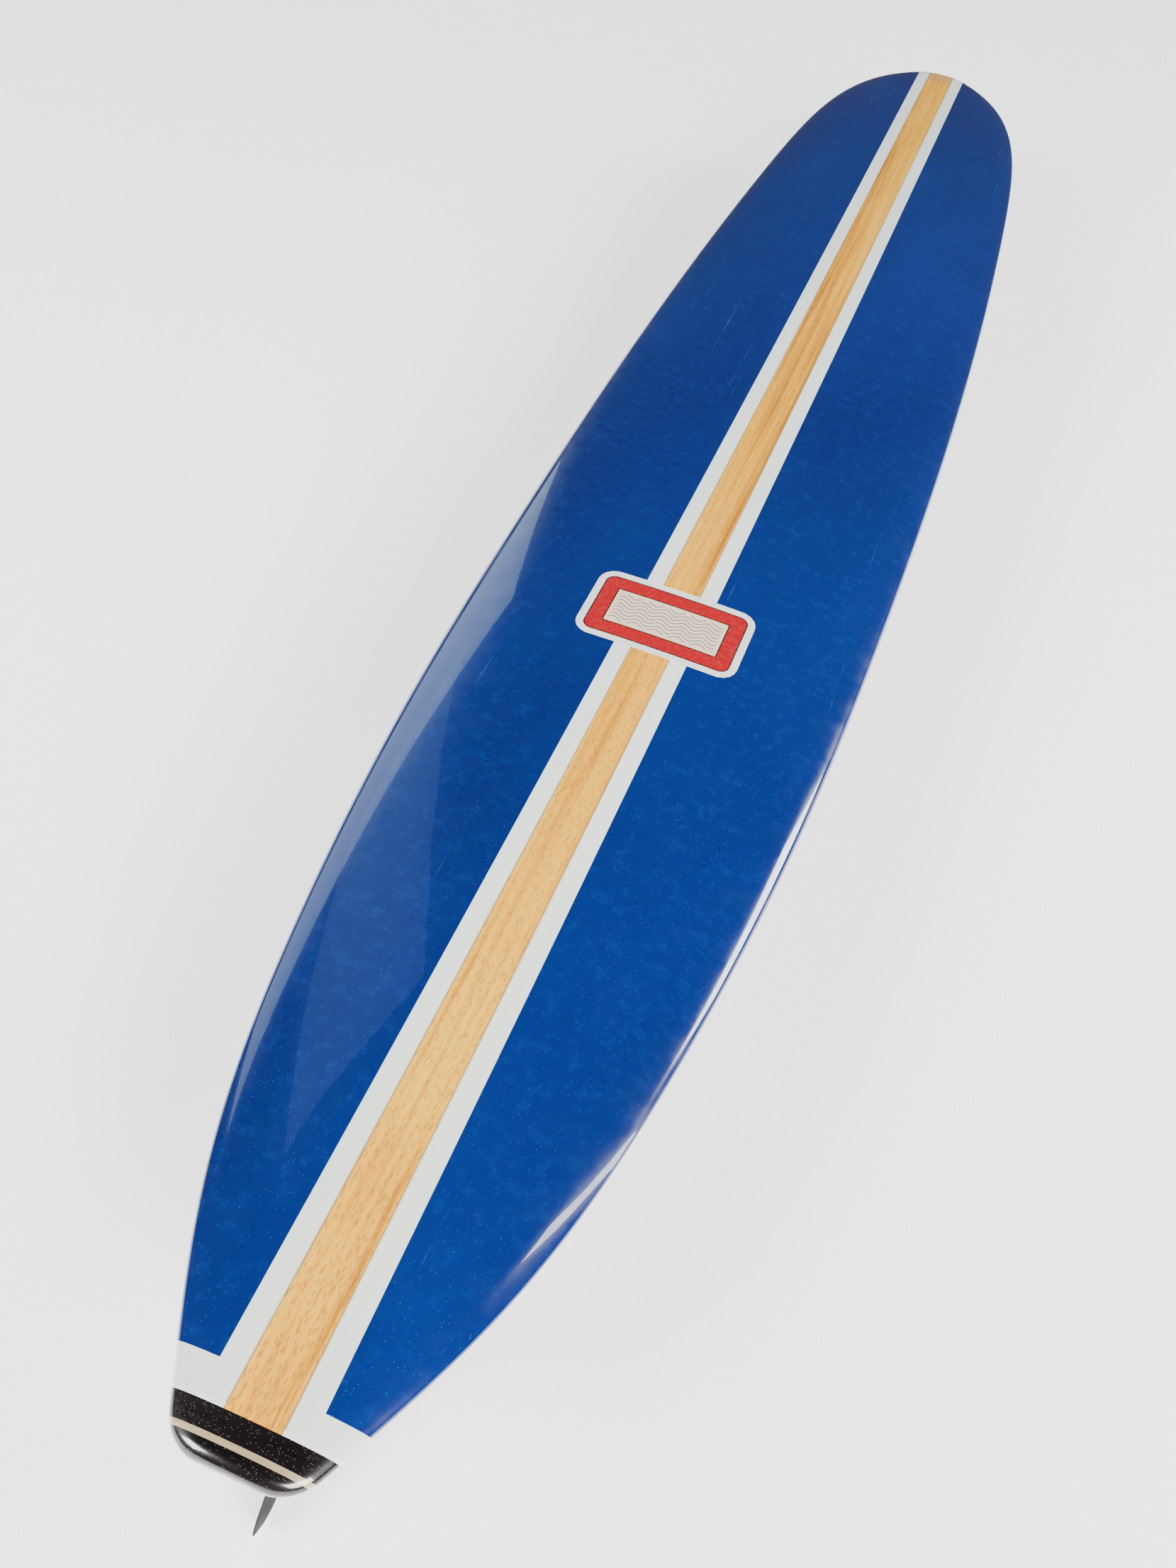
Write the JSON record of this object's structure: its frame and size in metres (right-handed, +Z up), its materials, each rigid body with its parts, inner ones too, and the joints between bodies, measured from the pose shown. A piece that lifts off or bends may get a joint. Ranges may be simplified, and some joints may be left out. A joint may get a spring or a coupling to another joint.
{
  "type": "surfboard",
  "caption": "Longboard surfboard with foam halves, a wide wooden stringer, glass skins, blue side panels, a laminated tail block and a raked fin that slides in a box.",
  "frame": {"origin": "on the centre line at half length, at the height of the lowest point of the bottom", "axes": "+Y towards the nose, +X to the right seen from above with the nose ahead, +Z up through the deck"},
  "size_m": [0.56, 3.0567, 0.2729],
  "materials": {
    "foam": "matt closed-cell foam",
    "balsa": "clear-coated straight grain",
    "pale_wood": "white strip",
    "dark_wood": "dark end block",
    "stripe_wood": "pale inlay",
    "clear_laminate": "polished clear resin over cloth",
    "blue_laminate": "polished blue resin",
    "print": "printed sheet under the gloss",
    "box_plastic": "moulded",
    "fin_laminate": "polished dark resin",
    "brass": "brushed",
    "steel": "stainless"
  },
  "bodies": {
    "board": {"foam_left": "foam", "foam_right": "foam", "stringer": "balsa", "tail_strip_left": "pale_wood", "tail_strip_right": "pale_wood", "tail_block_front": "dark_wood", "tail_block_stripe": "stripe_wood", "tail_block_rear": "dark_wood", "deck_panel_left": "blue_laminate", "deck_panel_right": "blue_laminate", "deck_glass": "clear_laminate", "bottom_panel_left": "blue_laminate", "bottom_panel_right": "blue_laminate", "bottom_glass": "clear_laminate", "label": "print", "fin_box": "box_plastic"},
    "fin_unit": {"fin": "fin_laminate", "fin_pin": "brass", "fin_plate": "steel"},
    "screw": {"fin_screw": "steel"}
  },
  "joints": [
    {"name": "fin_slide", "type": "slide", "parent": "board", "child": "fin_unit", "axis": [0, 0.9961, -0.0881], "range_m": [-0.03, 0.045]},
    {"name": "screw_turn", "type": "hinge", "parent": "fin_unit", "child": "screw", "pos_m": [0, -1.25623, 0.0453], "axis": [0, 0.0881, 0.9961], "continuous": true}
  ]
}
